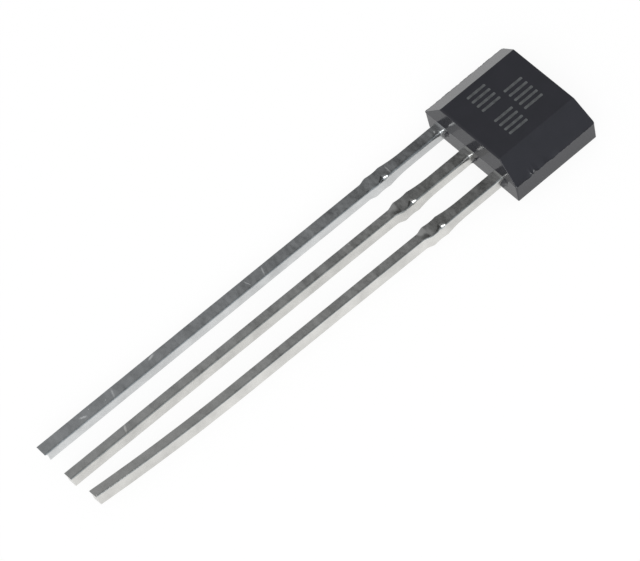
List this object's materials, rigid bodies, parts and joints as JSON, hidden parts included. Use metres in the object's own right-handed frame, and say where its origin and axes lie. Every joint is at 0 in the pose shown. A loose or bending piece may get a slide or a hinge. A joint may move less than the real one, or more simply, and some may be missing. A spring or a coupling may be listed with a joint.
{
  "type": "hall effect sensor",
  "caption": "Flat moulded through-hole Hall effect sensor with sloping shoulders on its front and a row of straight stamped leads from its lower end.",
  "frame": {"origin": "centre of the flat back face of the moulded body", "axes": "+Z out of the front, marked face; the leads run towards -Y; +X across the row of leads, from the supply lead to the output lead"},
  "size_m": [0.004, 0.0186, 0.0015],
  "materials": {
    "moulded_epoxy": "black silica-filled epoxy moulding compound, satin gloss from a polished mould",
    "tinned_lead": "tin-plated copper alloy, stamped, semi-bright with fine lengthwise streaks",
    "silicon": "diced silicon, passivated top",
    "silver_adhesive": "silver-filled die attach adhesive",
    "gold_wire": "gold bond wire"
  },
  "bodies": {
    "root": {"body": "moulded_epoxy", "lead_supply": "tinned_lead", "lead_ground": "tinned_lead", "lead_output": "tinned_lead", "hall_die": "silicon", "die_attach": "silver_adhesive", "bond_wire_supply": "gold_wire", "bond_wire_ground": "gold_wire", "bond_wire_output": "gold_wire"}
  },
  "joints": []
}
